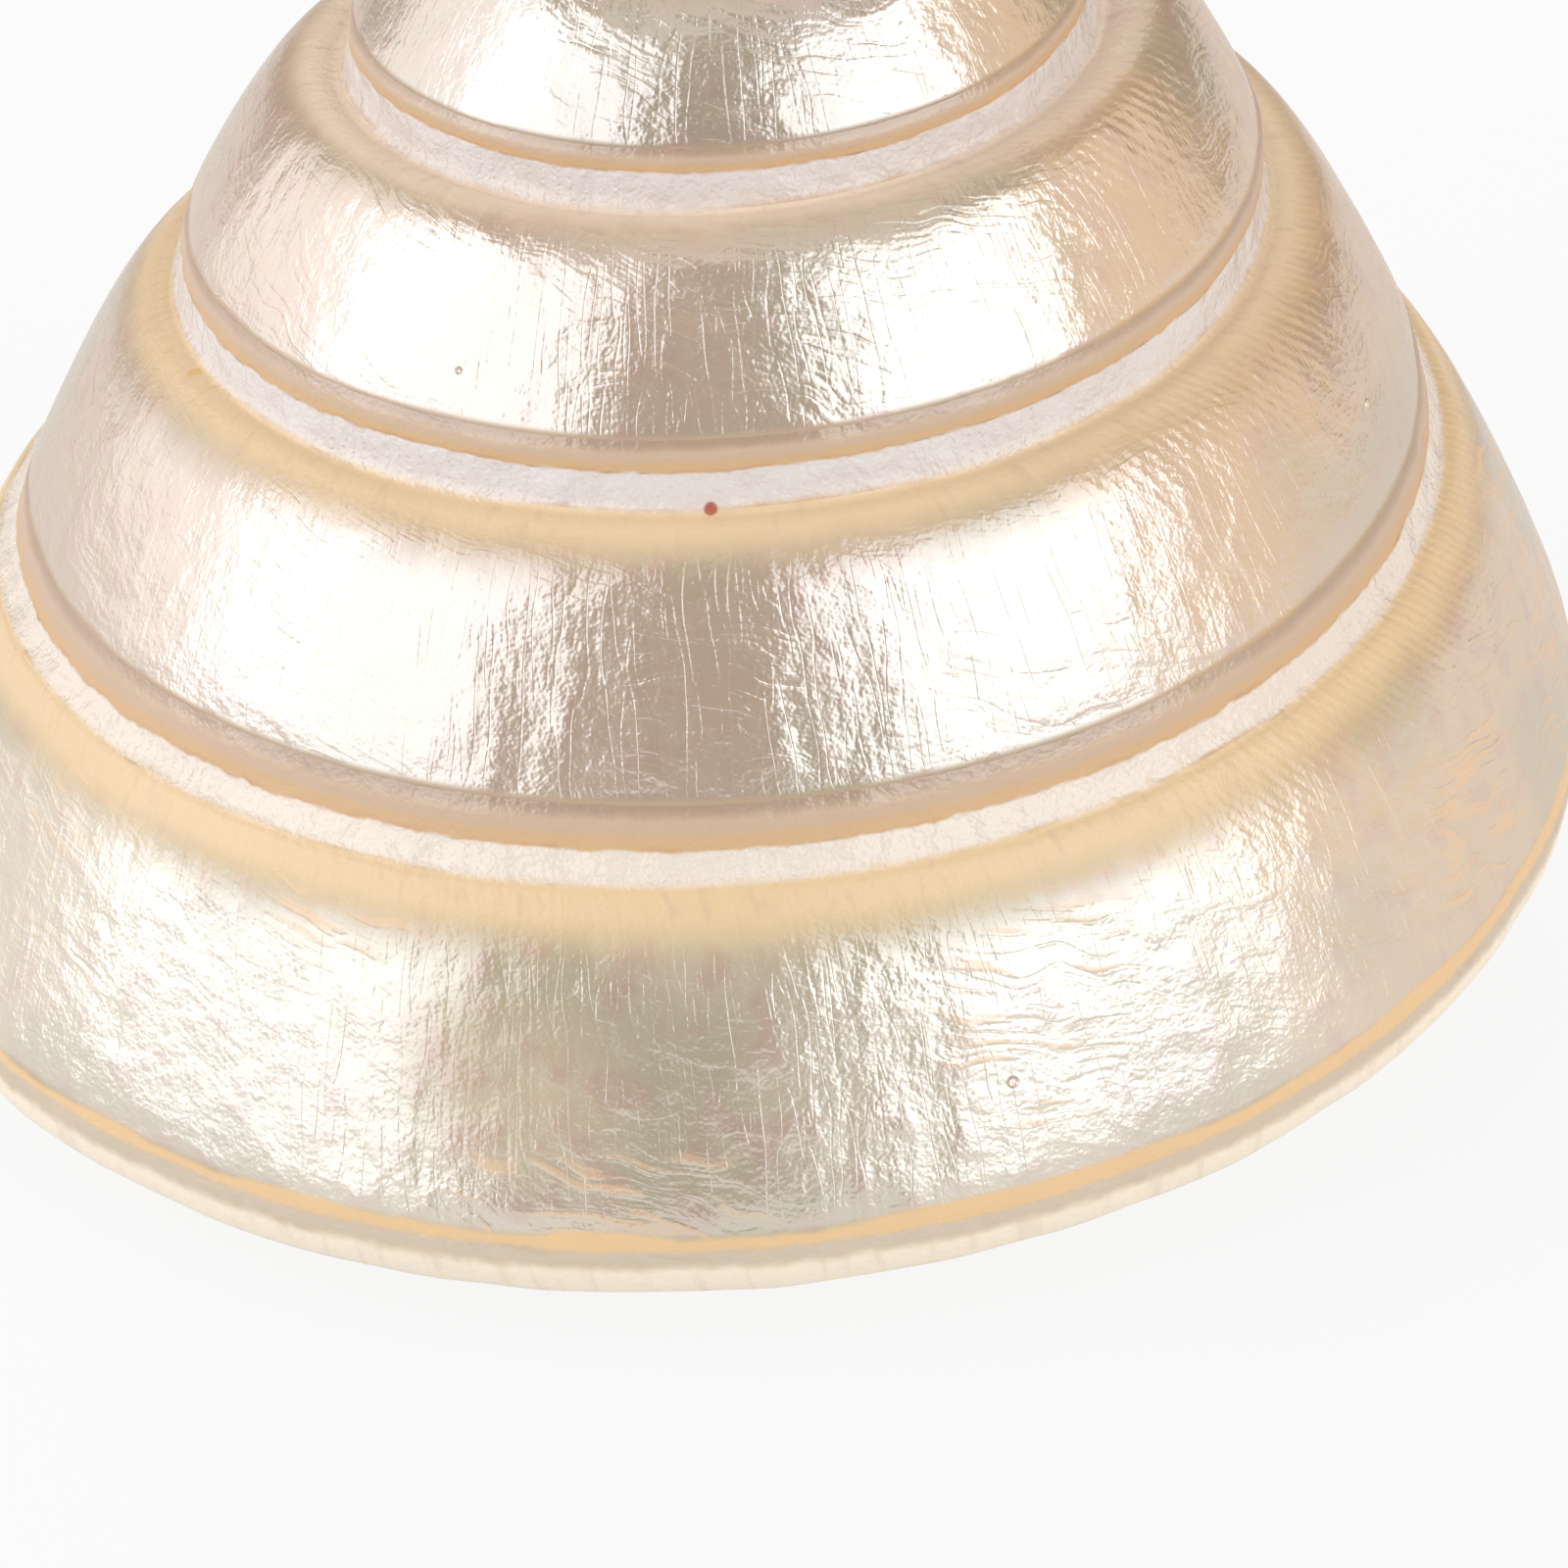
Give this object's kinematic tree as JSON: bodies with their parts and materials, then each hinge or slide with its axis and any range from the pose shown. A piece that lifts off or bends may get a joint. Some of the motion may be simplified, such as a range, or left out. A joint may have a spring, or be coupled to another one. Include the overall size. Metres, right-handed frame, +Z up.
{
  "type": "turban shell",
  "caption": "Polished pearly conical turban shell with a stepped right-handed spire, a pale band along the suture, a keeled edge and a low slanting mouth; stands on its base as an ornament.",
  "frame": {"origin": "on the surface the shell rests on, under the middle of its bounding box", "axes": "+Z up, about 5 degrees off the coiling axis, towards the apex; -Y towards the viewer, with the mouth at the back (+Y); +X to the viewer's right"},
  "size_m": [0.0406, 0.0404, 0.0289],
  "materials": {
    "nacre": "polished"
  },
  "bodies": {
    "root": {"shell": "nacre"}
  },
  "joints": []
}
